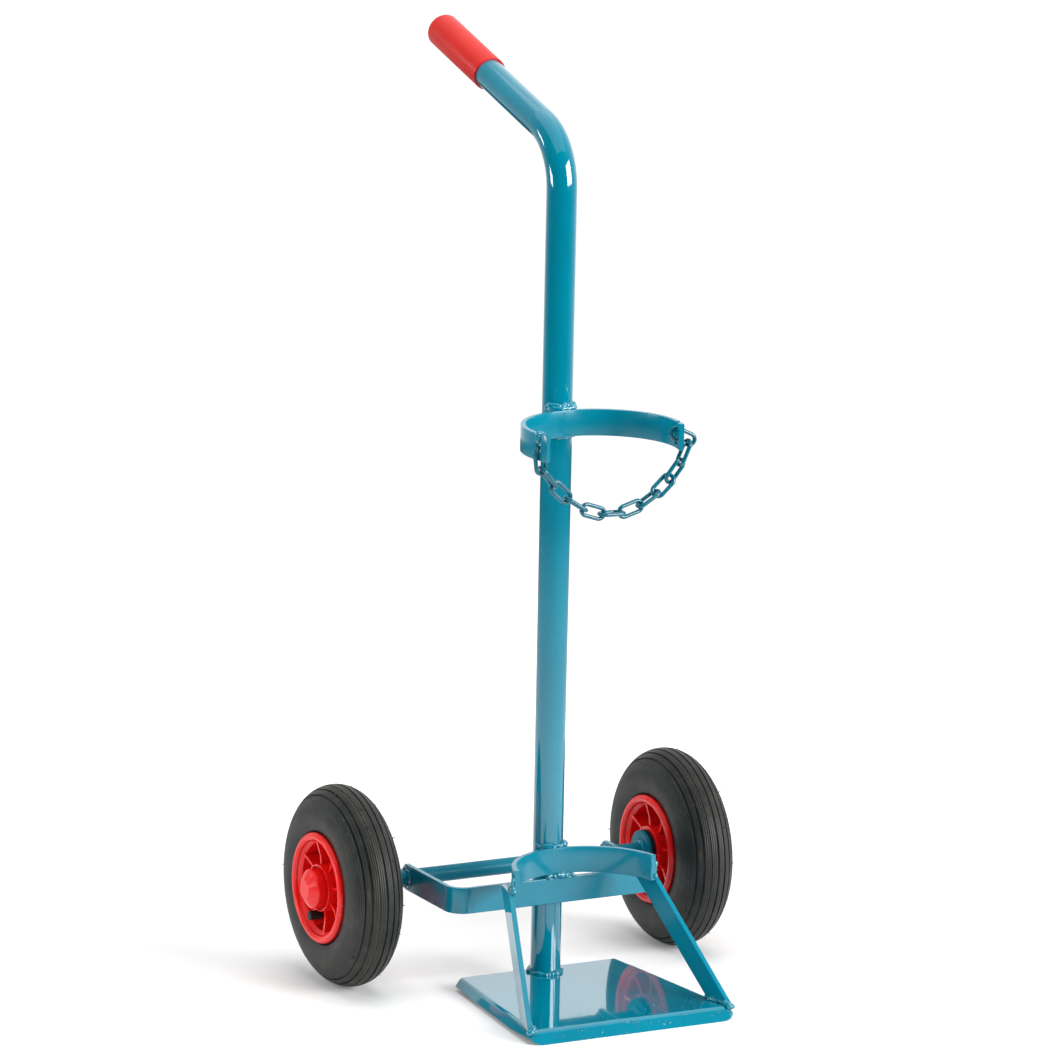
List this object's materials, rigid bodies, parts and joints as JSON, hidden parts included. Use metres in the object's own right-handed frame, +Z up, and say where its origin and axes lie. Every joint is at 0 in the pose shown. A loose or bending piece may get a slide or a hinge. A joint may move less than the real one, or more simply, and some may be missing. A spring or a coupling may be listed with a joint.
{
  "type": "gas cylinder cart",
  "caption": "Two-wheeled hand cart for one gas cylinder: bent tube with handle grip, foot plate, cradle hoops, securing chain and pneumatic wheels.",
  "frame": {"origin": "on the floor under the middle of the cart's box", "axes": "+Z up, -Y to the front where the cylinder stands, +X to the right seen from the front"},
  "size_m": [0.451, 0.4497, 0.9284],
  "materials": {
    "teal_paint": "gloss",
    "red_grip": "gloss",
    "red_plastic": "gloss",
    "tyre_rubber": "satin",
    "tube_rubber": "matte",
    "black_plastic": "satin",
    "bare_steel": "brushed"
  },
  "bodies": {
    "frame": {"upright_tube": "teal_paint", "handle_grip": "red_grip", "base_plate": "teal_paint", "upper_hoop": "teal_paint", "lower_hoop": "teal_paint", "left_brace": "teal_paint", "right_brace": "teal_paint", "axle_bracket": "teal_paint", "axle": "teal_paint", "left_axle_collar": "teal_paint", "right_axle_collar": "teal_paint", "left_axle_retainer": "bare_steel", "right_axle_retainer": "bare_steel", "chain_link_01": "teal_paint", "chain_link_12": "teal_paint"},
    "left_wheel": {"left_tyre": "tyre_rubber", "left_inner_tube": "tube_rubber", "left_rim": "red_plastic", "left_inner_bush": "black_plastic", "left_outer_bush": "black_plastic", "left_hub_cap": "red_plastic", "left_valve_stem": "tube_rubber", "left_valve_cap": "black_plastic"},
    "right_wheel": {"right_tyre": "tyre_rubber", "right_inner_tube": "tube_rubber", "right_rim": "red_plastic", "right_inner_bush": "black_plastic", "right_outer_bush": "black_plastic", "right_hub_cap": "red_plastic", "right_valve_stem": "tube_rubber", "right_valve_cap": "black_plastic"},
    "chain": {"chain_link_02": "teal_paint", "chain_link_03": "teal_paint", "chain_link_04": "teal_paint", "chain_link_05": "teal_paint", "chain_link_06": "teal_paint", "chain_link_07": "teal_paint", "chain_link_08": "teal_paint", "chain_link_09": "teal_paint", "chain_link_10": "teal_paint", "chain_link_11": "teal_paint"}
  },
  "joints": [
    {"name": "left_wheel_spin", "type": "hinge", "parent": "frame", "child": "left_wheel", "pos_m": [-0.1835, 0.0432, 0.1], "axis": [1, 0, 0], "continuous": true},
    {"name": "right_wheel_spin", "type": "hinge", "parent": "frame", "child": "right_wheel", "pos_m": [0.1835, 0.0432, 0.1], "axis": [1, 0, 0], "continuous": true},
    {"name": "chain_swing", "type": "hinge", "parent": "frame", "child": "chain", "pos_m": [-0.07019, -0.14605, 0.54249], "axis": [-0.9952, 0.0121, -0.0973], "range_deg": [-8, 45]}
  ]
}
